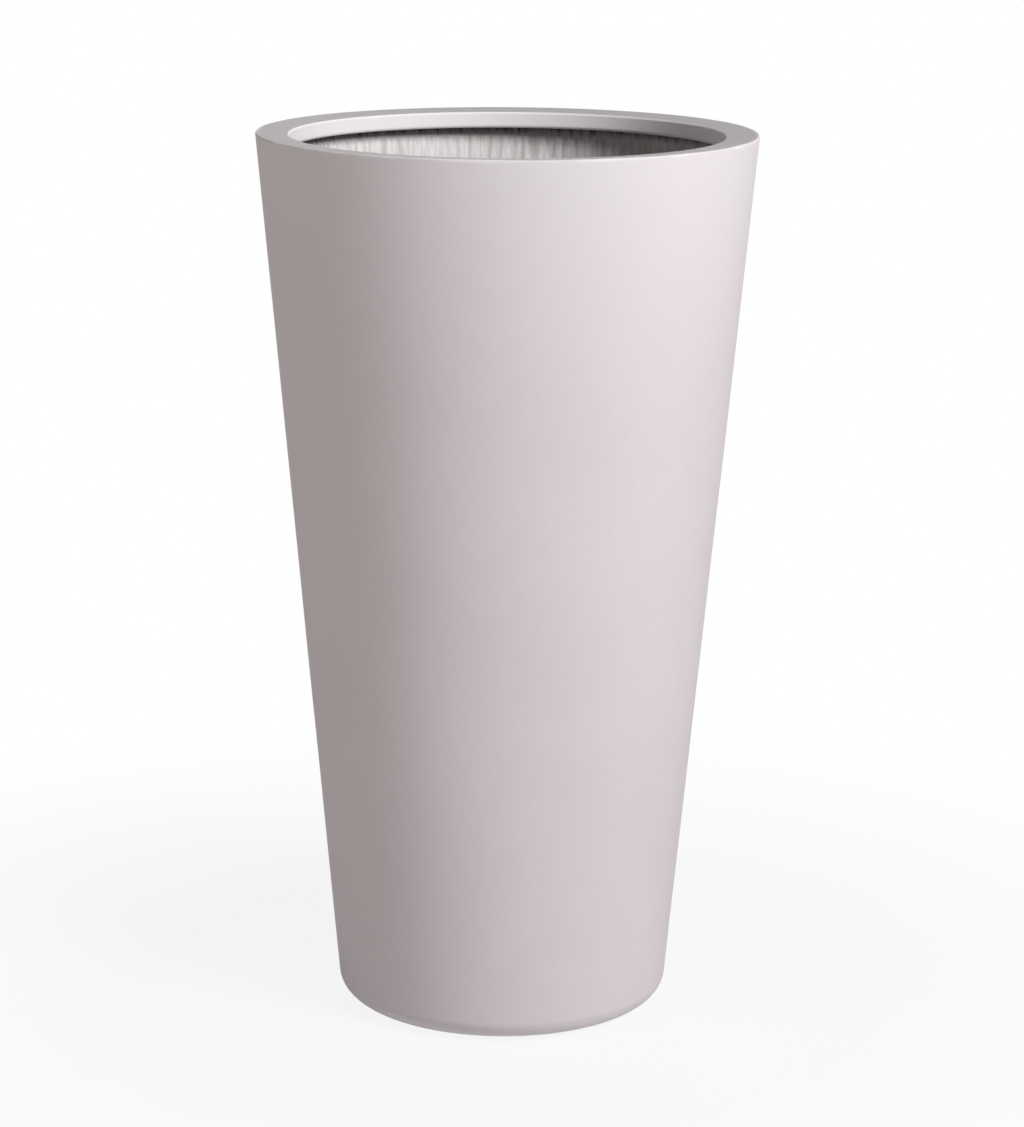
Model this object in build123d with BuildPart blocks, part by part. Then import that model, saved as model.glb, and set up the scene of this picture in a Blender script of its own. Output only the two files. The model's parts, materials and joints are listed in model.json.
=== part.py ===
from build123d import *
import os
from math import atan, cos, radians, sin

# A tall tapered round planter with a folded rim, a fibre-lined inside and a plugged drain.
# Lengths are in millimetres. The origin is on the floor, on the planter's axis, and +Z is up.

# Outer form
height = 800.0
top_diameter = 445.0
base_diameter = 300.0
foot_radius = 20.0

# Rim, folded in with a slight fall towards the inside, and turned down into a lip
rim_width = 30.0
rim_fall = 2.0
rim_outer_edge_radius = 1.5
rim_inner_edge_radius = 2.0
lip_depth = 15.0
lip_thickness = 8.0
lip_face_edge_radius = 3.0
lip_back_edge_radius = 2.0
flange_thickness = 7.0
channel_corner_radius = 2.5

# Cast shell
shell_wall = 7.0
shell_floor = 12.0
recess_diameter = 176.0
recess_depth = 4.0
recess_edge_radius = 1.5

# Fibre lining
lining_thickness = 3.0
lining_tuck = 4.0

# Drain
bushing_diameter = 32.0
bushing_flange_diameter = 52.0
bore_top_diameter = 26.0
bore_bottom_diameter = 24.0
bushing_edge_radius = 0.8

# Drain plug
plug_clearance = 0.3
plug_tip_gap = 1.0
plug_tip_chamfer = 1.5
plug_head_diameter = 40.0
plug_head_thickness = 4.0
plug_head_edge_radius = 1.2
tab_width = 20.0
tab_height = 17.0
tab_thickness = 5.0
tab_edge_radius = 1.0

# Foot pads
pad_count = 4
pad_diameter = 28.0
pad_thickness = 3.0
pad_ring_diameter = 220.0
pad_chamfer = 0.8

# Heights and radii that follow
top_radius = top_diameter / 2
base_radius = base_diameter / 2
underside_z = pad_thickness
recess_ceiling_z = underside_z + recess_depth
shell_floor_z = underside_z + shell_floor
lining_floor_z = shell_floor_z + lining_thickness
rim_inner_z = height - rim_fall
lip_bottom_z = rim_inner_z - lip_depth
flange_bottom_z = rim_inner_z - flange_thickness
lining_top_z = lip_bottom_z + lining_tuck
rim_inner_radius = top_radius - rim_width
lip_back_radius = rim_inner_radius + lip_thickness
bushing_radius = bushing_diameter / 2
bushing_flange_radius = bushing_flange_diameter / 2
wall_slope = (top_radius - base_radius) / (height - underside_z)
wall_taper = atan(wall_slope)
shell_corner_radius = foot_radius - shell_wall
lining_corner_radius = shell_corner_radius - lining_thickness


def wall_radius(z, inset=0.0):
    """Radius of the tapered wall at height z, inset square to its outer face."""
    return base_radius + (z - underside_z) * wall_slope - inset / cos(wall_taper)


def corner(section, r, z):
    """The vertex of a cross-section that lies at radius r and height z."""
    return section.vertices().sort_by_distance((r, z))[0]


os.makedirs("parts", exist_ok=True)


# Outer shell: wall, rounded foot, floor, folded rim and turned-down lip in one casting
shell_wall_at_flange = wall_radius(flange_bottom_z, shell_wall)
shell_wall_at_floor = wall_radius(shell_floor_z, shell_wall)

with BuildPart() as outer_shell:
    with BuildSketch(Plane.XZ) as shell_section:
        with BuildLine():
            Polyline(
                (0, recess_ceiling_z),
                (recess_diameter / 2, recess_ceiling_z),
                (recess_diameter / 2 + recess_depth, underside_z),
                (base_radius, underside_z),
                (top_radius, height),
                (rim_inner_radius, rim_inner_z),
                (rim_inner_radius, lip_bottom_z),
                (lip_back_radius, lip_bottom_z),
                (lip_back_radius, flange_bottom_z),
                (shell_wall_at_flange, flange_bottom_z),
                (shell_wall_at_floor, shell_floor_z),
                (0, shell_floor_z),
                close=True,
            )
        make_face()
        fillet(corner(shell_section, recess_diameter / 2 + recess_depth, underside_z), recess_edge_radius)
        fillet(corner(shell_section, base_radius, underside_z), foot_radius)
        fillet(corner(shell_section, top_radius, height), rim_outer_edge_radius)
        fillet(corner(shell_section, rim_inner_radius, rim_inner_z), rim_inner_edge_radius)
        fillet(corner(shell_section, rim_inner_radius, lip_bottom_z), lip_face_edge_radius)
        fillet(corner(shell_section, lip_back_radius, lip_bottom_z), lip_back_edge_radius)
        fillet(corner(shell_section, lip_back_radius, flange_bottom_z), channel_corner_radius)
        fillet(corner(shell_section, shell_wall_at_flange, flange_bottom_z), channel_corner_radius)
        fillet(corner(shell_section, shell_wall_at_floor, shell_floor_z), shell_corner_radius)
    revolve(axis=Axis.Z)
    with Locations((0, 0, shell_floor_z)):
        Hole(bushing_radius)

outer_shell.part.label = "outer_shell"
export_step(outer_shell.part, "parts/outer_shell.step")


# Fibre lining: the rough coat on the inside of the wall and floor, tucked up behind the lip
lining_back_at_top = wall_radius(lining_top_z, shell_wall)
lining_face_at_top = wall_radius(lining_top_z, shell_wall + lining_thickness)
lining_face_at_floor = wall_radius(lining_floor_z, shell_wall + lining_thickness)

with BuildPart() as fibre_lining:
    with BuildSketch(Plane.XZ) as lining_section:
        with BuildLine():
            Polyline(
                (bushing_flange_radius, shell_floor_z),
                (shell_wall_at_floor, shell_floor_z),
                (lining_back_at_top, lining_top_z),
                (lining_face_at_top, lining_top_z),
                (lining_face_at_floor, lining_floor_z),
                (bushing_flange_radius, lining_floor_z),
                close=True,
            )
        make_face()
        fillet(corner(lining_section, shell_wall_at_floor, shell_floor_z), shell_corner_radius)
        fillet(corner(lining_section, lining_face_at_floor, lining_floor_z), lining_corner_radius)
    revolve(axis=Axis.Z)

fibre_lining.part.label = "fibre_lining"
export_step(fibre_lining.part, "parts/fibre_lining.step")


# Drain bushing: a flanged sleeve bonded in the floor, flush with the lining and the recess
with BuildPart() as drain_bushing:
    with BuildSketch(Plane.XZ) as bushing_section:
        with BuildLine():
            Polyline(
                (bore_bottom_diameter / 2, recess_ceiling_z),
                (bushing_radius, recess_ceiling_z),
                (bushing_radius, shell_floor_z),
                (bushing_flange_radius, shell_floor_z),
                (bushing_flange_radius, lining_floor_z),
                (bore_top_diameter / 2, lining_floor_z),
                close=True,
            )
        make_face()
        fillet(corner(bushing_section, bore_top_diameter / 2, lining_floor_z), bushing_edge_radius)
        fillet(corner(bushing_section, bushing_flange_radius, lining_floor_z), bushing_edge_radius)
    revolve(axis=Axis.Z)

drain_bushing.part.label = "drain_bushing"
export_step(drain_bushing.part, "parts/drain_bushing.step")


# Drain plug: a tapered rubber bung whose head sits on the bushing, with a tab to pull it by
plug_top_z = lining_floor_z + plug_head_thickness

with BuildPart() as drain_plug:
    with BuildSketch(Plane.XZ) as plug_section:
        with BuildLine():
            Polyline(
                (0, recess_ceiling_z + plug_tip_gap),
                (bore_bottom_diameter / 2 - plug_clearance, recess_ceiling_z + plug_tip_gap),
                (bore_top_diameter / 2 - plug_clearance, lining_floor_z),
                (plug_head_diameter / 2, lining_floor_z),
                (plug_head_diameter / 2, plug_top_z),
                (0, plug_top_z),
                close=True,
            )
        make_face()
        fillet(corner(plug_section, plug_head_diameter / 2, plug_top_z), plug_head_edge_radius)
        chamfer(
            corner(plug_section, bore_bottom_diameter / 2 - plug_clearance, recess_ceiling_z + plug_tip_gap),
            plug_tip_chamfer,
        )
    revolve(axis=Axis.Z)
    with BuildSketch(Plane.XZ) as tab_section:
        with Locations((0, plug_top_z)):
            Rectangle(tab_width, tab_height, align=(Align.CENTER, Align.MIN))
        fillet(tab_section.vertices().group_by(Axis.Y)[-1], tab_width / 2 - tab_edge_radius)
    extrude(amount=tab_thickness / 2, both=True)

drain_plug.part.label = "drain_plug"
export_step(drain_plug.part, "parts/drain_plug.step")


# Foot pads: rubber discs stuck under the foot, one every quarter turn
for number in range(1, pad_count + 1):
    pad_angle = radians(360 / pad_count * (number - 0.5))
    with BuildPart() as foot_pad:
        with BuildSketch(Plane.XY):
            with Locations((pad_ring_diameter / 2 * cos(pad_angle), pad_ring_diameter / 2 * sin(pad_angle))):
                Circle(pad_diameter / 2)
        extrude(amount=pad_thickness)
        chamfer(foot_pad.faces().sort_by(Axis.Z)[0].edges(), pad_chamfer)

    foot_pad.part.label = f"foot_pad_{number}"
    export_step(foot_pad.part, f"parts/foot_pad_{number}.step")
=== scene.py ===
# %% [markdown]
# # A tall tapered planter
#
# The real object is one thick casting of fibre-filled clay. It comes out of its mould with a rim
# that folds inwards, falling a little as it goes, and turns down into a lip. Its outside is rubbed
# smooth and left matt, and its inside keeps the raw upright strokes of the fibre coat. A plug
# closes the drain in its floor, and four rubber pads keep it off the ground.
#
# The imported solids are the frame: every piece made here goes where they are, at their size. Each
# is modelled again, because a surface that the eye rests on needs more than a plain solid has: the
# strokes of the lining, the wander of the cast wall, the lips of the plug and the rings of a pad.

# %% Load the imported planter
import json
import math

import bmesh
import bpy
from mathutils import Matrix, Vector, noise


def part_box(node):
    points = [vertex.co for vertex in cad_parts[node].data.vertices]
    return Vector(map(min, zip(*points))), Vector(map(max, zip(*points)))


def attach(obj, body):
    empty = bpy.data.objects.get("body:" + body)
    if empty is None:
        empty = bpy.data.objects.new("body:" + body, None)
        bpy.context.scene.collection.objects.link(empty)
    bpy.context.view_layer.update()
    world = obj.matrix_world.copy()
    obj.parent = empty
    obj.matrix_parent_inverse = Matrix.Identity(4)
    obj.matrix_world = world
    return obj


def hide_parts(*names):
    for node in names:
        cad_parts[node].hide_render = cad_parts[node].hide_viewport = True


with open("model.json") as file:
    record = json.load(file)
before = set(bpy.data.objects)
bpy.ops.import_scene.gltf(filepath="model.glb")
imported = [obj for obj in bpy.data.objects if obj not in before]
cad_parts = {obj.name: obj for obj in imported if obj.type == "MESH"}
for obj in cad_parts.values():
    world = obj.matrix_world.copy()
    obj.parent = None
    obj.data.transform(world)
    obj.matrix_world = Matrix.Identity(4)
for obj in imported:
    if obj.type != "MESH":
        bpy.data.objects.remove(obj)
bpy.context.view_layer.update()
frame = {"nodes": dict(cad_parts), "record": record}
print("packed pieces:", ", ".join(sorted(frame["nodes"])))

# %% [markdown]
# ## The camera
#
# A camera is a place, a direction and a lens. The photograph was taken with a long lens from a
# little above the rim, a few metres away, so the mouth is a thin ellipse and the sides hardly converge
# more than the planter itself does. The camera comes first, because it says which surfaces show.
# It leans by a hair to its left, as the photograph does.

# %% Set the camera up
MM = 0.001

CAMERA_DISTANCE = 2.928
CAMERA_HEIGHT = 1.107
CAMERA_DOWN = math.radians(13.43)
CAMERA_RIGHT = math.radians(0.13)
CAMERA_LEAN = math.radians(0.42)
LENS_MM = 105.6


def aim_camera():
    """Place the camera in front of the planter, looking along +Y and down."""
    data = bpy.data.cameras.new("photo_camera")
    data.lens = LENS_MM
    data.sensor_fit = "AUTO"
    data.sensor_width = 36.0
    camera = bpy.data.objects.new("photo_camera", data)
    bpy.context.scene.collection.objects.link(camera)
    turn = Matrix.Rotation(-CAMERA_RIGHT, 4, "Z")
    tilt = Matrix.Rotation(math.pi / 2 - CAMERA_DOWN, 4, "X")
    lean = Matrix.Rotation(CAMERA_LEAN, 4, "Z")
    camera.matrix_world = Matrix.Translation((0, -CAMERA_DISTANCE, CAMERA_HEIGHT)) @ turn @ tilt @ lean
    return camera


bpy.context.scene.camera = aim_camera()
print("camera:", CAMERA_DISTANCE, "m away,", CAMERA_HEIGHT, "m up, lens", LENS_MM, "mm")

# %% [markdown]
# ## The sizes of the casting
#
# The heights of the foot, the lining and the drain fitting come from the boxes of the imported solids,
# and the lip's radius from the mount that a liner fits. The rest are the casting's own sizes. One
# function gives the wall's radius at any height, and every ring that has to lie on the wall asks it.

# %% Read and name the sizes
shell_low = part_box("outer_shell")[0]
lining_low, lining_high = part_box("fibre_lining")
bushing_low, bushing_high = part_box("drain_bushing")
mounts = {mount["name"]: mount for mount in frame["record"]["mounts"]}

FOOT_Z = shell_low.z
RIM_Z = 800.0 * MM
RIM_FALL = 2.0 * MM
TOP_RADIUS = 222.5 * MM
FOOT_RADIUS = 150.0 * MM
LIP_RADIUS = mounts["liner_mouth"]["dims"]["r_mm"] * MM
LIP_BACK_RADIUS = LIP_RADIUS + 8.0 * MM
LIP_TOP_Z = RIM_Z - RIM_FALL
LIP_Z = LIP_TOP_Z - 15.0 * MM
FLANGE_Z = LIP_TOP_Z - 7.0 * MM
SHELL_WALL = 7.0 * MM
LINING_WALL = 3.0 * MM
FLOOR_Z = lining_low.z
RECESS_Z = bushing_low.z
RECESS_RADIUS = 88.0 * MM
DRAIN_RADIUS = 16.0 * MM
FLANGE_RADIUS = bushing_high.x

WALL_SLOPE = (TOP_RADIUS - FOOT_RADIUS) / (RIM_Z - FOOT_Z)
WALL_TAPER = math.atan(WALL_SLOPE)


def wall_radius(z, inset=0.0):
    """Radius of the outer wall at height z, less an inset square to it."""
    return FOOT_RADIUS + (z - FOOT_Z) * WALL_SLOPE - inset / math.cos(WALL_TAPER)


print(f"planter: {RIM_Z:.3f} m tall, {2 * TOP_RADIUS:.3f} m across the rim, lip {2 * LIP_RADIUS:.3f} m")

# %% [markdown]
# ## Turned shapes
#
# Everything on this planter is turned: a section, carried once round the upright axis. A primitive
# cone could stand for the wall, but not for the folded rim, so each piece starts as the outline of
# its section and is spun. The corners are rounded afterwards, one ring at a time, because a bevel
# then knows the true angle between the two faces that meet there.

# %% Helpers for turned pieces
SPIN_DOUBLINGS = 5


def spin_section(corners, steps):
    """Carry a closed outline of (radius, height) corners once round the Z axis.

    A short slice is spun, and then copied and turned so that each pass doubles what is there. A
    side that lies on the axis closes up to a line, which is taken away.
    """
    bm = bmesh.new()
    dots = [bm.verts.new((radius, 0, z)) for radius, z in corners]
    lines = [bm.edges.new(pair) for pair in zip(dots, dots[1:] + dots[:1])]
    slices = 2**SPIN_DOUBLINGS
    swept = math.tau / slices
    bmesh.ops.spin(
        bm, geom=dots + lines, axis=(0, 0, 1), cent=(0, 0, 0), angle=swept, steps=steps // slices
    )
    for _ in range(SPIN_DOUBLINGS):
        copy = bmesh.ops.duplicate(bm, geom=bm.verts[:] + bm.edges[:] + bm.faces[:])["geom"]
        turned = [item for item in copy if isinstance(item, bmesh.types.BMVert)]
        bmesh.ops.rotate(bm, verts=turned, cent=(0, 0, 0), matrix=Matrix.Rotation(swept, 3, "Z"))
        swept *= 2
    bmesh.ops.remove_doubles(bm, verts=bm.verts, dist=0.01 * MM)
    on_axis = [line for line in bm.edges if not line.link_faces]
    bmesh.ops.delete(bm, geom=on_axis, context="EDGES")
    bmesh.ops.recalc_face_normals(bm, faces=bm.faces)
    return bm


def radius_of(point):
    """Distance of a point from the planter's axis."""
    return math.hypot(point.x, point.y)


def round_ring(bm, radius, z, bend, segments):
    """Round the ring of edges at this radius and height to a bend of the given radius."""
    near = 0.05 * MM
    on_ring = {v for v in bm.verts if abs(v.co.z - z) < near and abs(radius_of(v.co) - radius) < near}
    ring = [e for e in bm.edges if e.verts[0] in on_ring and e.verts[1] in on_ring]
    reach = bend * math.tan(ring[0].calc_face_angle() / 2)
    bmesh.ops.bevel(
        bm,
        geom=ring,
        offset=reach,
        offset_type="OFFSET",
        segments=segments,
        profile=0.5,
        affect="EDGES",
        clamp_overlap=False,
        material=-1,
    )


def finish_piece(bm, name, body, replaced):
    """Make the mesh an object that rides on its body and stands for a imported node."""
    mesh = bpy.data.meshes.new(name)
    bm.to_mesh(mesh)
    bm.free()
    mesh.shade_smooth()
    piece = bpy.data.objects.new(name, mesh)
    bpy.context.scene.collection.objects.link(piece)
    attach(piece, body)
    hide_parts(replaced)
    mesh.calc_loop_triangles()
    print(f"{name}: {len(mesh.loop_triangles)} triangles")
    return piece


# %% [markdown]
# ## The cast shell
#
# On the real planter the wall, the floor, the rim and the lip are one casting, so they are one
# mesh. Its section runs along the underside, up the outer wall, across the rim, down the lip,
# back under the rim and down the inner wall to the floor. The mould gives the foot a wide soft
# bend, and hand rubbing leaves the rim's edges only just broken.

# %% Turn the cast shell
SHELL_STEPS = 288
FOOT_BEND = 20.0 * MM
RIM_OUTER_BEND = 1.5 * MM
RIM_INNER_BEND = 2.0 * MM
LIP_FACE_BEND = 3.0 * MM
LIP_BACK_BEND = 2.0 * MM
SMALL_BEND = 1.5 * MM
INSIDE_BEND = FOOT_BEND - SHELL_WALL
RECESS_STEP = RECESS_Z - FOOT_Z

inner_top = wall_radius(FLANGE_Z, SHELL_WALL)
inner_foot = wall_radius(FLOOR_Z, SHELL_WALL)


def turn_shell():
    """The whole casting as one closed turned mesh."""
    bm = spin_section(
        [
            (DRAIN_RADIUS, RECESS_Z),
            (RECESS_RADIUS, RECESS_Z),
            (RECESS_RADIUS + RECESS_STEP, FOOT_Z),
            (FOOT_RADIUS, FOOT_Z),
            (TOP_RADIUS, RIM_Z),
            (LIP_RADIUS, LIP_TOP_Z),
            (LIP_RADIUS, LIP_Z),
            (LIP_BACK_RADIUS, LIP_Z),
            (LIP_BACK_RADIUS, FLANGE_Z),
            (inner_top, FLANGE_Z),
            (inner_foot, FLOOR_Z),
            (DRAIN_RADIUS, FLOOR_Z),
        ],
        SHELL_STEPS,
    )
    round_ring(bm, FOOT_RADIUS, FOOT_Z, FOOT_BEND, 12)
    round_ring(bm, TOP_RADIUS, RIM_Z, RIM_OUTER_BEND, 5)
    round_ring(bm, LIP_RADIUS, LIP_TOP_Z, RIM_INNER_BEND, 6)
    round_ring(bm, LIP_RADIUS, LIP_Z, LIP_FACE_BEND, 6)
    round_ring(bm, LIP_BACK_RADIUS, LIP_Z, LIP_BACK_BEND, 4)
    round_ring(bm, RECESS_RADIUS + RECESS_STEP, FOOT_Z, SMALL_BEND, 3)
    round_ring(bm, inner_foot, FLOOR_Z, INSIDE_BEND, 6)
    return bm


# %% [markdown]
# A casting that was rubbed down by hand isn't a perfect cone: its wall wanders by a few tenths of
# a millimetre over the width of a hand. Rings of edges are added up the outer wall to carry that,
# and each point of the wall moves a little along its own radius. The movement fades out towards
# the rim and the foot, where the mould's steel rings held the edges true.

# %% Let the wall wander
WALL_RINGS = 76
WANDER = 0.25 * MM
WANDER_SIZE = 130.0 * MM
WANDER_FADE = 60.0 * MM


def cut_wall_rings(bm, low, high, count):
    """Add level rings of edges between two heights."""
    for number in range(1, count + 1):
        level = low + (high - low) * number / (count + 1)
        everything = bm.verts[:] + bm.edges[:] + bm.faces[:]
        bmesh.ops.bisect_plane(
            bm, geom=everything, plane_co=(0, 0, level), plane_no=(0, 0, 1), dist=0.001 * MM
        )


def let_wall_wander(bm):
    """Move the outer wall in and out by a few tenths of a millimetre."""
    low, high = FOOT_Z + FOOT_BEND, RIM_Z - RIM_OUTER_BEND
    for v in bm.verts:
        if not low < v.co.z < high or radius_of(v.co) < wall_radius(v.co.z, SHELL_WALL / 2):
            continue
        fade = min((v.co.z - low) / WANDER_FADE, (high - v.co.z) / WANDER_FADE, 1.0)
        shift = WANDER * fade * noise.noise(v.co / WANDER_SIZE)
        outward = Vector((v.co.x, v.co.y, 0)).normalized()
        v.co += outward * shift


shell_mesh = turn_shell()
cut_wall_rings(shell_mesh, FOOT_Z + FOOT_BEND, RIM_Z - 2 * RIM_OUTER_BEND, WALL_RINGS)
let_wall_wander(shell_mesh)
cast_shell = finish_piece(shell_mesh, "cast_shell", "planter", "outer_shell")
flat_faces = cast_shell.modifiers.new("keep flat faces flat", "WEIGHTED_NORMAL")
flat_faces.keep_sharp = True

# %% [markdown]
# ## The fibre lining
#
# The inside was never rubbed down. It is a coat of chopped fibre in clay, laid on with a stiff
# brush in upright strokes, so it stands in fine ridges a few millimetres apart. Just under the lip
# the light rakes along them and their crests catch it while the grooves stay dark, which a bump
# texture can't do. So the strokes are real relief: the coat is spun with a point every millimetre
# of its girth, and each point moves in or out by a noise that is stretched along the wall.

# %% Turn the lining and brush it
LINING_STEPS = 1280
LINING_TOP_Z = lining_high.z
LINING_FLOOR_Z = FLOOR_Z + LINING_WALL
LINING_BEND = INSIDE_BEND - LINING_WALL
STROKE_DEPTH = 0.75 * MM
STROKE_WIDTH = 4.2 * MM
STROKE_LENGTH = 85.0 * MM
STROKE_SHARE = 0.62
HAIR_SHARE = 0.38
HAIR_ACROSS = 2.3
HAIR_ALONG = 1.7
HAIR_SHIFT = 5.0
BRUSH_STOP = 4.0 * MM
FINE_ZONE = 110.0 * MM
FINE_RINGS = 18
COARSE_RINGS = 26
FLOOR_RINGS = 9

lining_back_top = wall_radius(LINING_TOP_Z, SHELL_WALL)
lining_face_top = wall_radius(LINING_TOP_Z, SHELL_WALL + LINING_WALL)
lining_face_foot = wall_radius(LINING_FLOOR_Z, SHELL_WALL + LINING_WALL)


def steps_between(start, end, count):
    """Points on the straight line from start up to, but not including, end."""
    return [tuple(a + (b - a) * i / count for a, b in zip(start, end)) for i in range(count)]


def turn_lining():
    """The coat as one closed turned mesh, with rings close together where it shows."""
    fine_z = LINING_TOP_Z - FINE_ZONE
    fine_end = (wall_radius(fine_z, SHELL_WALL + LINING_WALL), fine_z)
    drain_side = (FLANGE_RADIUS, LINING_FLOOR_Z)
    foot_corner = (lining_face_foot, LINING_FLOOR_Z)
    bm = spin_section(
        [(FLANGE_RADIUS, FLOOR_Z), (inner_foot, FLOOR_Z), (lining_back_top, LINING_TOP_Z)]
        + steps_between((lining_face_top, LINING_TOP_Z), fine_end, FINE_RINGS)
        + steps_between(fine_end, foot_corner, COARSE_RINGS)
        + steps_between(foot_corner, drain_side, FLOOR_RINGS)
        + [drain_side],
        LINING_STEPS,
    )
    round_ring(bm, inner_foot, FLOOR_Z, INSIDE_BEND, 3)
    round_ring(bm, lining_face_foot, LINING_FLOOR_Z, LINING_BEND, 4)
    return bm


def stroke_height(point):
    """Height of the brushed coat at a point: broad strokes with finer hairs on them."""
    across = point / STROKE_WIDTH
    across.z = point.z / STROKE_LENGTH
    hairs = Vector((across.x * HAIR_ACROSS, across.y * HAIR_ACROSS, across.z * HAIR_ALONG + HAIR_SHIFT))
    return STROKE_SHARE * noise.noise(across) + HAIR_SHARE * noise.noise(hairs)


def brush_lining(bm):
    """Raise the strokes on the face of the coat and keep their height for the material."""
    stroke = bm.verts.layers.float.new("stroke")
    bm.normal_update()
    for v in bm.verts:
        on_wall = radius_of(v.co) < wall_radius(v.co.z, SHELL_WALL + LINING_WALL / 2)
        on_face = on_wall and v.co.z > FLOOR_Z + LINING_WALL / 2
        if not on_face:
            continue
        clear_of_drain = min((radius_of(v.co) - FLANGE_RADIUS) / BRUSH_STOP, 1.0)
        height = stroke_height(v.co) * max(clear_of_drain, 0.0)
        v[stroke] = height
        v.co += v.normal * height * STROKE_DEPTH


lining_mesh = turn_lining()
brush_lining(lining_mesh)
brushed_lining = finish_piece(lining_mesh, "brushed_lining", "planter", "fibre_lining")

# %% [markdown]
# ## The drain fitting and its plug
#
# The fitting is a moulded sleeve with a flange, bonded in the floor. Its bore narrows a little
# downwards, so the plug wedges as it is pushed in, and a shallow groove runs round its flange. The
# plug is a rubber bung: two grooves in its shank leave three sealing lips, its head has a raised
# ring, and a tab with finger ribs stands on it. Both are turned like the shell, and the tab is a
# block whose corners are bevelled, widest bend first.

# %% Turn the drain fitting
SMALL_STEPS = 96
BORE_TOP = 13.0 * MM
BORE_FOOT = 12.0 * MM
SEAT_Z = bushing_high.z
GROOVE_DEPTH = 0.6 * MM
GROOVE_INNER = 22.0 * MM
GROOVE_OUTER = 24.0 * MM
FITTING_BEND = 0.8 * MM


def turn_fitting():
    """The flanged sleeve in the floor, with its tapered bore."""
    bm = spin_section(
        [
            (BORE_FOOT, RECESS_Z),
            (DRAIN_RADIUS, RECESS_Z),
            (DRAIN_RADIUS, FLOOR_Z),
            (FLANGE_RADIUS, FLOOR_Z),
            (FLANGE_RADIUS, SEAT_Z),
            (GROOVE_OUTER, SEAT_Z),
            (GROOVE_OUTER - GROOVE_DEPTH, SEAT_Z - GROOVE_DEPTH),
            (GROOVE_INNER + GROOVE_DEPTH, SEAT_Z - GROOVE_DEPTH),
            (GROOVE_INNER, SEAT_Z),
            (BORE_TOP, SEAT_Z),
        ],
        SMALL_STEPS,
    )
    round_ring(bm, FLANGE_RADIUS, SEAT_Z, FITTING_BEND, 3)
    round_ring(bm, BORE_TOP, SEAT_Z, FITTING_BEND, 3)
    return bm


fitting_mesh = turn_fitting()
drain_fitting = finish_piece(fitting_mesh, "drain_fitting", "planter", "drain_bushing")

# %% Turn the plug and raise its tab
plug_low, plug_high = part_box("drain_plug")
PLUG_CLEARANCE = 0.3 * MM
HEAD_RADIUS = plug_high.x
HEAD_TOP_Z = SEAT_Z + 4.0 * MM
HEAD_BEND = 1.2 * MM
TIP_BEVEL = 1.5 * MM
LIP_GROOVE = 0.7 * MM
LIP_GROOVE_HEIGHTS = (11.0 * MM, 14.5 * MM)
RING_RADIUS = 16.5 * MM
RING_HEIGHT = 0.6 * MM
RING_WIDTH = 1.2 * MM
TAB_HALF_WIDTH = 10.0 * MM
TAB_HALF_THICKNESS = 2.5 * MM
TAB_CORNER = 9.0 * MM
TAB_EDGE = 0.8 * MM
TAB_SUNK = 0.5 * MM
RIB_COUNT = 3
RIB_PITCH = 3.2 * MM
RIB_SIZE = (12.0 * MM, 0.5 * MM, 1.2 * MM)


def shank_radius(z):
    """Radius of the plug's tapered shank at height z."""
    share = (z - RECESS_Z) / (SEAT_Z - RECESS_Z)
    return BORE_FOOT + (BORE_TOP - BORE_FOOT) * share - PLUG_CLEARANCE


def plug_section():
    """The plug's outline from the middle of its tip to the middle of its head."""
    tip_z = plug_low.z
    outline = [(0, tip_z), (shank_radius(tip_z) - TIP_BEVEL, tip_z)]
    outline.append((shank_radius(tip_z + TIP_BEVEL), tip_z + TIP_BEVEL))
    for z in LIP_GROOVE_HEIGHTS:
        outline.append((shank_radius(z - LIP_GROOVE), z - LIP_GROOVE))
        outline.append((shank_radius(z) - LIP_GROOVE, z))
        outline.append((shank_radius(z + LIP_GROOVE), z + LIP_GROOVE))
    outline += [(shank_radius(SEAT_Z), SEAT_Z), (HEAD_RADIUS, SEAT_Z), (HEAD_RADIUS, HEAD_TOP_Z)]
    outline.append((RING_RADIUS + RING_WIDTH, HEAD_TOP_Z))
    outline.append((RING_RADIUS + RING_WIDTH / 2, HEAD_TOP_Z + RING_HEIGHT))
    outline.append((RING_RADIUS - RING_WIDTH / 2, HEAD_TOP_Z + RING_HEIGHT))
    outline.append((RING_RADIUS - RING_WIDTH, HEAD_TOP_Z))
    outline.append((0, HEAD_TOP_Z))
    return outline


def raise_tab(bm):
    """Stand the tab on the head: a block with two wide corners and broken edges."""
    low, high = HEAD_TOP_Z - TAB_SUNK, plug_high.z
    left, right = -TAB_HALF_WIDTH, TAB_HALF_WIDTH
    spots = [(left, low), (right, low), (right, high), (left, high)]
    face = bm.faces.new([bm.verts.new((x, -TAB_HALF_THICKNESS, z)) for x, z in spots])
    swept = bmesh.ops.extrude_face_region(bm, geom=[face])["geom"]
    far = [item for item in swept if isinstance(item, bmesh.types.BMVert)]
    bmesh.ops.translate(bm, verts=far, vec=(0, 2 * TAB_HALF_THICKNESS, 0))
    tab = set(far) | set(face.verts)
    top = {v for v in tab if v.co.z > high - TAB_EDGE}
    along_top = [e for e in bm.edges if set(e.verts) <= top]
    corners = [e for e in along_top if abs(e.verts[0].co.x - e.verts[1].co.x) < TAB_EDGE]
    made = bmesh.ops.bevel(
        bm, geom=corners, offset=TAB_CORNER, segments=12, profile=0.5, affect="EDGES", material=-1
    )
    tab = {v for v in tab | set(made["verts"]) if v.is_valid}
    sides = {f for v in tab for f in v.link_faces if abs(f.normal.y) > 0.9}
    rim = [e for f in sides for e in f.edges]
    bmesh.ops.bevel(
        bm, geom=list(set(rim)), offset=TAB_EDGE, segments=3, profile=0.5, affect="EDGES", material=-1
    )


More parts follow.
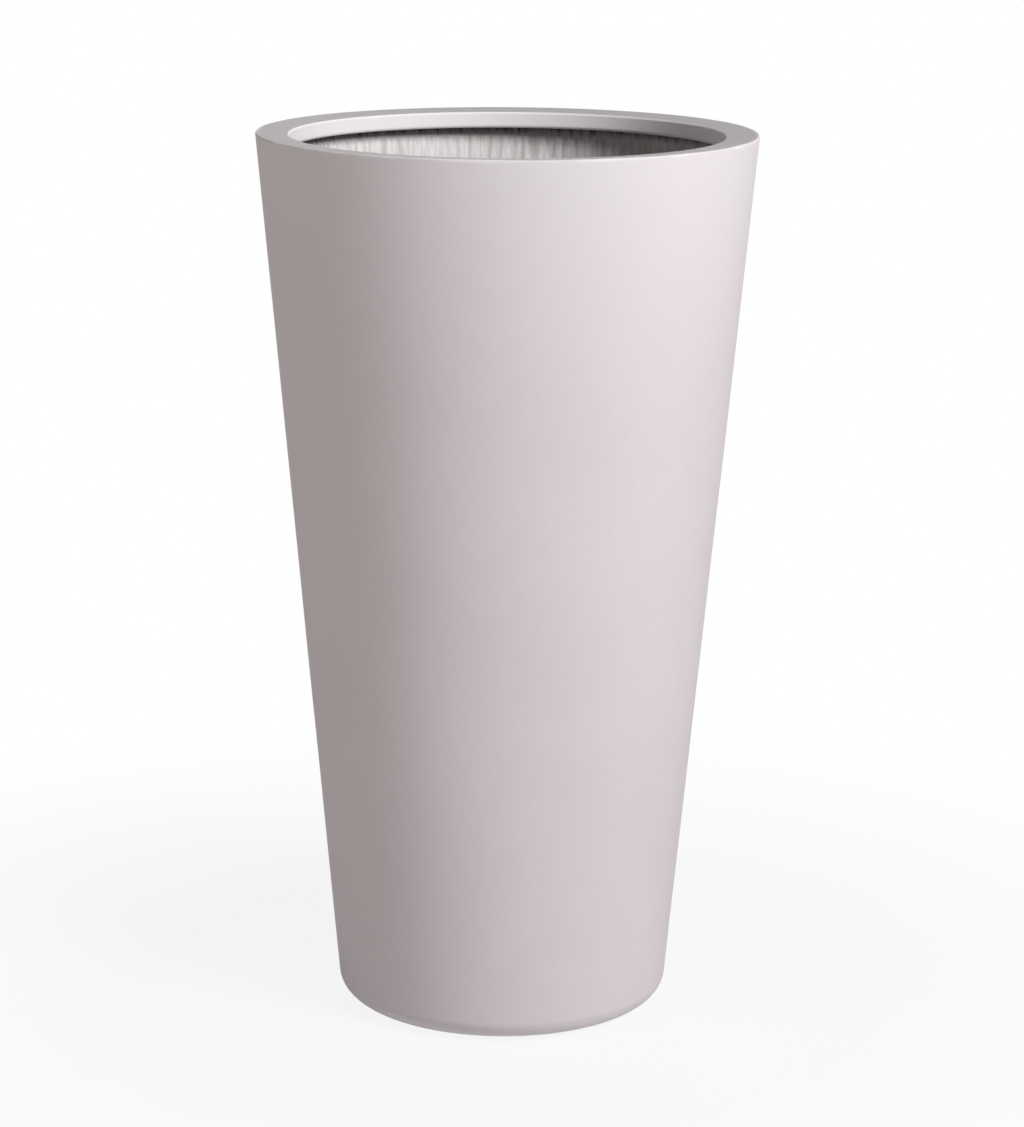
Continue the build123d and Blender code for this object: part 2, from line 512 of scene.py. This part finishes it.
def raise_ribs(bm):
    """Three low ribs on each side of the tab, for wet fingers."""
    middle = (HEAD_TOP_Z + plug_high.z) / 2
    for number in range(RIB_COUNT):
        for side in (-1, 1):
            spot = (0, side * TAB_HALF_THICKNESS, middle + (number - 1) * RIB_PITCH)
            place = Matrix.Translation(spot) @ Matrix.Diagonal((*RIB_SIZE, 1.0))
            rib = bmesh.ops.create_cube(bm, size=1.0, matrix=place)["verts"]
            edges = list({e for v in rib for e in v.link_edges})
            bend = RIB_SIZE[1] * 0.45
            bmesh.ops.bevel(
                bm, geom=edges, offset=bend, segments=2, profile=0.5, affect="EDGES", material=-1
            )


def make_plug():
    """The whole bung with its tab."""
    bm = spin_section(plug_section(), SMALL_STEPS)
    round_ring(bm, HEAD_RADIUS, HEAD_TOP_Z, HEAD_BEND, 4)
    raise_tab(bm)
    raise_ribs(bm)
    bmesh.ops.recalc_face_normals(bm, faces=bm.faces)
    return bm


rubber_plug = finish_piece(make_plug(), "rubber_plug", "plug", "drain_plug")

# %% [markdown]
# ## The foot pads
#
# Four rubber discs are stuck under the foot. Such pads are cut from ringed sheet, so the face that
# meets the floor has grooves one inside the other. One outline serves all four: it is turned about
# the planter's own axis, and then each copy is carried to its place.

# %% Turn the four pads
PAD_RADIUS = 14.0 * MM
PAD_THICKNESS = FOOT_Z
PAD_BEVEL = 0.8 * MM
PAD_GROOVES = (4.0 * MM, 7.0 * MM, 10.0 * MM)
PAD_GROOVE_WIDTH = 0.9 * MM
PAD_GROOVE_DEPTH = 0.5 * MM


def pad_section():
    """The pad's outline, from the middle of the floor side round to the middle of the top."""
    outline = [(0, 0)]
    for radius in PAD_GROOVES:
        outline.append((radius - PAD_GROOVE_WIDTH, 0))
        outline.append((radius - PAD_GROOVE_WIDTH / 3, PAD_GROOVE_DEPTH))
        outline.append((radius + PAD_GROOVE_WIDTH / 3, PAD_GROOVE_DEPTH))
        outline.append((radius + PAD_GROOVE_WIDTH, 0))
    outline += [(PAD_RADIUS - PAD_BEVEL, 0), (PAD_RADIUS, PAD_BEVEL), (PAD_RADIUS, PAD_THICKNESS)]
    outline.append((0, PAD_THICKNESS))
    return outline


def make_pad(node):
    """One pad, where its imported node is."""
    low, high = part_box(node)
    bm = spin_section(pad_section(), SMALL_STEPS)
    bmesh.ops.translate(bm, verts=bm.verts, vec=((low.x + high.x) / 2, (low.y + high.y) / 2, 0))
    return finish_piece(bm, node.replace("foot_pad", "ringed_pad"), "planter", node)


ringed_pads = [make_pad(f"foot_pad_{number}") for number in range(1, 5)]

# %% [markdown]
# ## Finishes
#
# Each finish is a small tree of nodes on one Principled shader. Patterns read Object coordinates,
# which are metres on this planter, so a noise scale of 100 makes marks about 10 mm wide. Helpers
# keep the trees short: one makes the material, one adds a node and joins its inputs.

# %% Helpers for materials
class Finish:
    """A material with a Principled shader and short calls to add nodes to it."""

    def __init__(self, name, colour, roughness, specular=0.5):
        self.material = bpy.data.materials.new(name)
        self.material.use_nodes = True
        self.tree = self.material.node_tree
        self.shader = self.tree.nodes["Principled BSDF"]
        self.shader.inputs["Base Color"].default_value = (*colour, 1.0)
        self.shader.inputs["Roughness"].default_value = roughness
        self.shader.inputs["Specular IOR Level"].default_value = specular

    def node(self, kind, inputs=(), **settings):
        """Add a node. Inputs are pairs of a socket's name or number and a value or an output."""
        made = self.tree.nodes.new("ShaderNode" + kind)
        for name, value in settings.items():
            setattr(made, name, value)
        for socket, value in inputs:
            if isinstance(value, bpy.types.NodeSocket):
                self.tree.links.new(value, made.inputs[socket])
            else:
                made.inputs[socket].default_value = value
        return made

    def feed(self, socket, output):
        """Join an output to one of the shader's sockets."""
        self.tree.links.new(output, self.shader.inputs[socket])

    def place(self, stretch=(1.0, 1.0, 1.0)):
        """Object coordinates, stretched."""
        where = self.node("TexCoord").outputs["Object"]
        return self.node("Mapping", [("Vector", where), ("Scale", stretch)]).outputs[0]

    def noise(self, where, scale, detail=2.0, rough=0.5):
        """A soft random pattern from 0 to 1."""
        inputs = [("Vector", where), ("Scale", scale), ("Detail", detail), ("Roughness", rough)]
        return self.node("TexNoise", inputs).outputs["Fac"]

    def remap(self, value, low, high, to_low, to_high):
        """Stretch a stretch of values to another, and clamp the rest."""
        inputs = [(0, value), (1, low), (2, high), (3, to_low), (4, to_high)]
        return self.node("MapRange", inputs).outputs[0]

    def blend(self, share, first, second):
        """Mix two colours."""
        made = self.node("Mix", data_type="RGBA")
        for socket, value in ((0, share), (6, first), (7, second)):
            if isinstance(value, bpy.types.NodeSocket):
                self.tree.links.new(value, made.inputs[socket])
            else:
                made.inputs[socket].default_value = value if socket == 0 else (*value, 1.0)
        return made.outputs[2]

    def relief(self, height, depth, before=None):
        """A bump whose height is in metres, on top of an earlier one."""
        inputs = [("Strength", 1.0), ("Distance", depth), ("Height", height)]
        if before is not None:
            inputs.append(("Normal", before))
        return self.node("Bump", inputs).outputs[0]

    def wear(self, piece):
        """Give the finish to a piece in place of what it has."""
        piece.data.materials.clear()
        piece.data.materials.append(self.material)


def grey(level, warmth=0.0):
    """A grey of this level, a little warmer or cooler."""
    return (level * (1 + warmth), level, level * (1 - warmth))


# %% [markdown]
# ### The rubbed matt shell
#
# The outside is unglazed and dry, with the faint warm lilac of the clay. It isn't one colour: the
# clay clouds over hand-sized patches and carries a fine mottle. Painted light makes the last two
# hands' widths below the rim paler, and painted shade makes faces that look up, the top of the rim
# above all, a shade greyer. The face of the lip and the bend of the foot are painted paler as
# painted light, and the rim's outer edge is paler in patches, partly from rubbing wear and partly
# as a painted highlight. Its gloss is low and uneven, and its relief is a powdery grain.

# %% Mix the matt shell finish
CLAY = (0.642, 0.587, 0.607)
CLAY_PALE = (0.662, 0.607, 0.626)
CLAY_DEEP = (0.614, 0.556, 0.577)
# Painted light: the face of the lip and the bend of the foot are painted this paler colour.
PAINTED_LIGHT_PALE = (0.860, 0.815, 0.828)
# Painted light: the top of the outer wall is painted paler.
PAINTED_UPPER_LIGHT = (0.690, 0.642, 0.660)
PALE_START = 0.60
PALE_FULL = 0.80
FOOT_LIGHT_START = FOOT_Z + 14.0 * MM
FOOT_LIGHT_FULL = FOOT_Z + 3.0 * MM
# Painted shade: faces that look up, the rim's top above all, are painted this grey in a share.
PAINTED_UPWARD_SHADE = grey(0.30, 0.02)
UPWARD_SHADE_SHARE = 0.52
# Partly rubbing wear, partly a painted highlight: the rim's outer edge is paler in patches.
RUBBED_AND_HIGHLIT = (0.800, 0.743, 0.762)
EDGE_PALE_NEAR = 1.5 * MM
EDGE_PALE_FAR = 4.0 * MM
EDGE_PALE_MOST = 0.8
CLOUD_SCALE = 7.0
MOTTLE_SCALE = 130.0
MOTTLE_SHARE = 0.22
PATCH_SCALE = 22.0
GRAIN_SCALE = 1500.0
GRAIN_DEPTH = 0.05 * MM
RUBBING_SCALE = 55.0
RUBBING_DEPTH = 0.20 * MM
SMOOTHEST = 0.74
ROUGHEST = 0.86


def radius_and_height(clay, where):
    """Each point's distance from the axis and its height, as two outputs."""
    spot = clay.node("SeparateXYZ", [(0, where)])
    level = clay.node("CombineXYZ", [(0, spot.outputs[0]), (1, spot.outputs[1])]).outputs[0]
    radius = clay.node("VectorMath", [(0, level)], operation="LENGTH").outputs["Value"]
    return radius, spot.outputs[2]


def inside_lip(clay, radius, height):
    """1 on the face of the lip, 0 elsewhere."""
    on_face = clay.remap(radius, LIP_RADIUS + 0.5 * MM, LIP_RADIUS + 2.0 * MM, 1.0, 0.0)
    high = clay.remap(height, LIP_Z - 2.0 * MM, LIP_Z - 1.0 * MM, 0.0, 1.0)
    return clay.node("Math", [(0, on_face), (1, high)], operation="MULTIPLY").outputs[0]


def rubbed_and_highlit_edge(clay, where, radius, height):
    """Uneven patches along the rim's outer edge, from 0 to 1."""
    across = clay.node("Math", [(0, radius), (1, TOP_RADIUS)], operation="SUBTRACT").outputs[0]
    below = clay.node("Math", [(0, height), (1, RIM_Z)], operation="SUBTRACT").outputs[0]
    gap = clay.node("CombineXYZ", [(0, across), (1, below)]).outputs[0]
    reach = clay.node("VectorMath", [(0, gap)], operation="LENGTH").outputs["Value"]
    near = clay.remap(reach, EDGE_PALE_NEAR, EDGE_PALE_FAR, 1.0, 0.0)
    patches = clay.remap(clay.noise(where, PATCH_SCALE, 3.0), 0.42, 0.62, 0.0, EDGE_PALE_MOST)
    return clay.node("Math", [(0, near), (1, patches)], operation="MULTIPLY").outputs[0]


def make_matt_shell():
    """Matt clay: clouds, mottle, painted light and shade, a paler rim edge and a powdery grain."""
    clay = Finish("matt_shell_clay", CLAY, 0.80, specular=0.35)
    where = clay.place()
    clouds = clay.remap(clay.noise(where, CLOUD_SCALE, 3.0), 0.35, 0.65, 0.0, 1.0)
    mottle = clay.remap(clay.noise(where, MOTTLE_SCALE, 4.0, 0.6), 0.3, 0.7, 0.0, 1.0)
    tone = clay.blend(clouds, CLAY, CLAY_PALE)
    tone = clay.blend(clay.remap(mottle, 0.0, 1.0, 0.0, MOTTLE_SHARE), tone, CLAY_DEEP)
    radius, height = radius_and_height(clay, where)
    # Painted light: the wall is painted paler towards the rim.
    tone = clay.blend(clay.remap(height, PALE_START, PALE_FULL, 0.0, 1.0), tone, PAINTED_UPPER_LIGHT)
    facing_up = clay.node("SeparateXYZ", [(0, clay.node("TexCoord").outputs["Normal"])]).outputs[2]
    # Painted shade on faces that look up.
    tone = clay.blend(clay.remap(facing_up, 0.80, 1.0, 0.0, UPWARD_SHADE_SHARE), tone, PAINTED_UPWARD_SHADE)
    # Painted light: the face of the lip, then the bend of the foot, are painted paler.
    tone = clay.blend(inside_lip(clay, radius, height), tone, PAINTED_LIGHT_PALE)
    tone = clay.blend(clay.remap(height, FOOT_LIGHT_FULL, FOOT_LIGHT_START, 1.0, 0.0), tone, PAINTED_LIGHT_PALE)
    # Rim's outer edge paler in patches: rubbing wear and a painted highlight.
    tone = clay.blend(rubbed_and_highlit_edge(clay, where, radius, height), tone, RUBBED_AND_HIGHLIT)
    clay.feed("Base Color", tone)
    clay.feed("Roughness", clay.remap(mottle, 0.0, 1.0, SMOOTHEST, ROUGHEST))
    grain = clay.noise(where, GRAIN_SCALE, 2.0)
    rubbing = clay.noise(where, RUBBING_SCALE, 2.0)
    bump = clay.relief(rubbing, RUBBING_DEPTH)
    bump = clay.relief(grain, GRAIN_DEPTH, bump)
    clay.feed("Normal", bump)
    return clay


make_matt_shell().wear(cast_shell)

# %% [markdown]
# ### The raw fibre coat
#
# Deep inside, the coat is raw grey clay with fibre in it. When the outside was sprayed pale, the
# spray drifted over the rim and down the first hand's width of the lining. A strip just under the
# lip is painted near black as a painted shadow of the lip. The height of each brush stroke was kept
# on the mesh, so the crests can be paler and the grooves darker just where the relief has them, and
# the edges of the spray and of the painted shadow run ragged along the strokes. Hairs that are
# finer than the mesh are a bump, stretched upright.

# %% Mix the raw lining finish
SPRAY_PALE = (0.840, 0.815, 0.815)
SPRAY_DEEP = (0.560, 0.532, 0.524)
RAW_CREST = (0.330, 0.315, 0.305)
RAW_GROOVE = (0.210, 0.200, 0.195)
# Painted shadow: the strip just under the lip is painted this near-black colour.
PAINTED_LIP_SHADOW = (0.060, 0.055, 0.052)
LIP_SHADOW_TOP = LIP_Z - 0.5 * MM
LIP_SHADOW_END = LIP_Z - 9.0 * MM
SPRAY_FADE = LIP_Z - 60.0 * MM
SPRAY_END = LIP_Z - 150.0 * MM
RAGGED = 5.5 * MM
FINE_HAIR_SCALE = 900.0
FINE_HAIR_STRETCH = 0.05
FINE_HAIR_DEPTH = 0.35 * MM


def make_raw_lining():
    """Raw brushed clay, sprayed pale near the top: crests, grooves and fine upright hairs."""
    raw = Finish("raw_brushed_clay", SPRAY_PALE, 0.85, specular=0.35)
    where = raw.place()
    height = raw.node("Attribute", attribute_name="stroke").outputs["Fac"]
    hairs = raw.noise(raw.place((1.0, 1.0, FINE_HAIR_STRETCH)), FINE_HAIR_SCALE, 3.0, 0.6)
    groove = raw.remap(height, -0.35, 0.3, 1.0, 0.0)
    streak = raw.remap(hairs, 0.35, 0.7, 0.0, 0.6)
    deep = raw.node("Math", [(0, groove), (1, streak)], operation="MAXIMUM").outputs[0]
    level = raw.node("SeparateXYZ", [(0, where)]).outputs[2]
    tooth = raw.remap(hairs, 0.3, 0.7, -0.25, 0.25)
    jagged = raw.node("Math", [(0, height), (1, tooth)]).outputs[0]
    edge = raw.node("Math", [(0, jagged), (1, RAGGED), (2, level)], operation="MULTIPLY_ADD").outputs[0]
    reached = raw.remap(edge, SPRAY_END, SPRAY_FADE, 0.0, 1.0)
    sprayed = raw.blend(deep, SPRAY_PALE, SPRAY_DEEP)
    bare = raw.blend(deep, RAW_CREST, RAW_GROOVE)
    tone = raw.blend(reached, bare, sprayed)
    # Painted shadow of the lip: the strip just under it goes near black.
    lip_shadow = raw.remap(edge, LIP_SHADOW_END, LIP_SHADOW_TOP, 0.0, 1.0)
    raw.feed("Base Color", raw.blend(lip_shadow, tone, PAINTED_LIP_SHADOW))
    raw.feed("Normal", raw.relief(hairs, FINE_HAIR_DEPTH))
    return raw


make_raw_lining().wear(brushed_lining)

# %% [markdown]
# ### Moulded plastic and rubber
#
# The drain bushing is a moulded plastic fitting, and the plug and the pads are rubber. All three
# are nearly black. The plastic has a tight fine grain and some gloss. The rubber is duller and
# softer in its relief, with a bloom of pale dust.

# %% Mix the moulded finishes
BLOOM_SCALE = 90.0
BLOOM_MOST = 0.25
BLOOM_PALER = 2.2
BLOOM_ROUGHER = 0.12


def make_moulded(name, level, roughness, grain_scale, grain_depth):
    """A dark moulded material with an even grain and a faint pale bloom."""
    moulded = Finish(name, grey(level), roughness, specular=0.4)
    where = moulded.place()
    bloom = moulded.remap(moulded.noise(where, BLOOM_SCALE, 3.0), 0.45, 0.75, 0.0, BLOOM_MOST)
    moulded.feed("Base Color", moulded.blend(bloom, grey(level), grey(level * BLOOM_PALER, 0.03)))
    rough = moulded.remap(bloom, 0.0, BLOOM_MOST, roughness, roughness + BLOOM_ROUGHER)
    moulded.feed("Roughness", rough)
    moulded.feed("Normal", moulded.relief(moulded.noise(where, grain_scale, 2.0), grain_depth))
    return moulded


make_moulded("drain_fitting_plastic", 0.045, 0.42, 2600.0, 0.02 * MM).wear(drain_fitting)
make_moulded("drain_plug_rubber", 0.030, 0.62, 1400.0, 0.03 * MM).wear(rubber_plug)
pad_rubber = make_moulded("foot_pad_rubber", 0.035, 0.70, 900.0, 0.04 * MM)
for pad in ringed_pads:
    pad_rubber.wear(pad)

# %% [markdown]
# ## The floor and the light
#
# The planter stands in a plain white studio. The floor and the world are white to the camera, but
# they light the clay no more than a pale floor in a dark room would: Light Path says when a ray
# comes from the camera or off a gloss, and only then is the white switched on. Near the planter a
# share of the floor stays an ordinary surface, which keeps a faint shadow under the foot. Further
# out the share fades to nothing, so that the floor runs into the white surround without an edge.

# %% Lay the white floor
FLOOR_REACH = 8.0
FLOOR_GREY = 0.62
SHADOW_SHARE = 0.12
SHADOW_NEAR = 0.35
SHADOW_FAR = 0.90


def lay_floor():
    """A pale floor that the camera sees as white, with the planter's soft shadow on it."""
    bm = bmesh.new()
    bmesh.ops.create_circle(bm, cap_ends=True, segments=64, radius=FLOOR_REACH)
    mesh = bpy.data.meshes.new("studio_floor")
    bm.to_mesh(mesh)
    bm.free()
    floor = bpy.data.objects.new("studio_floor", mesh)
    bpy.context.scene.collection.objects.link(floor)
    pale = Finish("studio_floor_pale", grey(FLOOR_GREY), 0.9, specular=0.1)
    from_axis = pale.node("VectorMath", [(0, pale.place())], operation="LENGTH").outputs["Value"]
    white_share = pale.remap(from_axis, SHADOW_NEAR, SHADOW_FAR, 1.0 - SHADOW_SHARE, 1.0)
    path = pale.node("LightPath")
    seen = pale.node("Math", [(0, path.outputs["Is Camera Ray"]), (1, path.outputs["Is Glossy Ray"])])
    share = pale.node("Math", [(0, seen.outputs[0]), (1, white_share)], operation="MULTIPLY").outputs[0]
    white = pale.node("Emission", [("Color", (1.0, 1.0, 1.0, 1.0)), ("Strength", 1.0)]).outputs[0]
    mixed = pale.node("MixShader", [(0, share), (1, pale.shader.outputs[0]), (2, white)]).outputs[0]
    surface = pale.tree.nodes["Material Output"].inputs["Surface"]
    pale.tree.links.new(mixed, surface)
    pale.wear(floor)


lay_floor()

# %% [markdown]
# One large soft lamp stands to the right of the camera and well above the rim, so the wall falls
# off from right to left, the lip throws its shadow down the lining and the rim stays dimmer than
# the wall. A low warm lamp on the left, below the rim, opens up the dark side without reaching into
# the mouth. A very small one hangs close over the left of the rim and lifts only that. A weak lamp
# behind keeps the back from going dark in other views. The camera sees none of the lamps.

# %% Light the studio
WORLD_LEVEL = 0.012
WHITE = (1.0, 1.0, 1.0)
WARM = (1.0, 0.94, 0.88)
LAMPS = {
    # name: (degrees right of the camera's side, degrees up, distance, width, watts, aim height, colour)
    "key_right": (46.0, 31.5, 3.8, 1.5, 171.0, 0.80, WHITE),
    "low_left": (-60.0, 0.0, 1.6, 0.5, 5.9, 0.66, WARM),
    "rim_left": (-125.0, 50.0, 0.45, 0.15, 0.34, 0.80, WHITE),
    "behind": (180.0, 5.0, 3.0, 1.0, 20.0, 0.40, WHITE),
}


def hang_lamp(name, azimuth, elevation, distance, width, watts, aim_z, colour):
    """A square soft lamp that looks at the planter's axis at a given height."""
    data = bpy.data.lights.new(name, "AREA")
    data.shape = "SQUARE"
    data.size = width
    data.energy = watts
    data.color = colour
    lamp = bpy.data.objects.new(name, data)
    lamp.visible_camera = False
    bpy.context.scene.collection.objects.link(lamp)
    a, e = math.radians(azimuth), math.radians(elevation)
    away = Vector((math.sin(a) * math.cos(e), -math.cos(a) * math.cos(e), math.sin(e)))
    facing = away.to_track_quat("Z", "Y").to_matrix().to_4x4()
    lamp.matrix_world = Matrix.Translation(Vector((0, 0, aim_z)) + away * distance) @ facing


def light_world():
    """A nearly dark surround that is white to the camera and to mirrors."""
    world = bpy.data.worlds.new("studio_surround")
    bpy.context.scene.world = world
    world.use_nodes = True
    tree = world.node_tree
    surround = tree.nodes["Background"]
    surround.inputs["Color"].default_value = (1.0, 1.0, 1.0, 1.0)
    path = tree.nodes.new("ShaderNodeLightPath")
    level = tree.nodes.new("ShaderNodeMapRange")
    level.inputs["To Min"].default_value = 1.0
    level.inputs["To Max"].default_value = WORLD_LEVEL
    tree.links.new(path.outputs["Is Diffuse Ray"], level.inputs["Value"])
    tree.links.new(level.outputs[0], surround.inputs["Strength"])


for lamp_name, lamp_facts in LAMPS.items():
    hang_lamp(lamp_name, *lamp_facts)
light_world()
bpy.context.scene.view_settings.view_transform = "Standard"
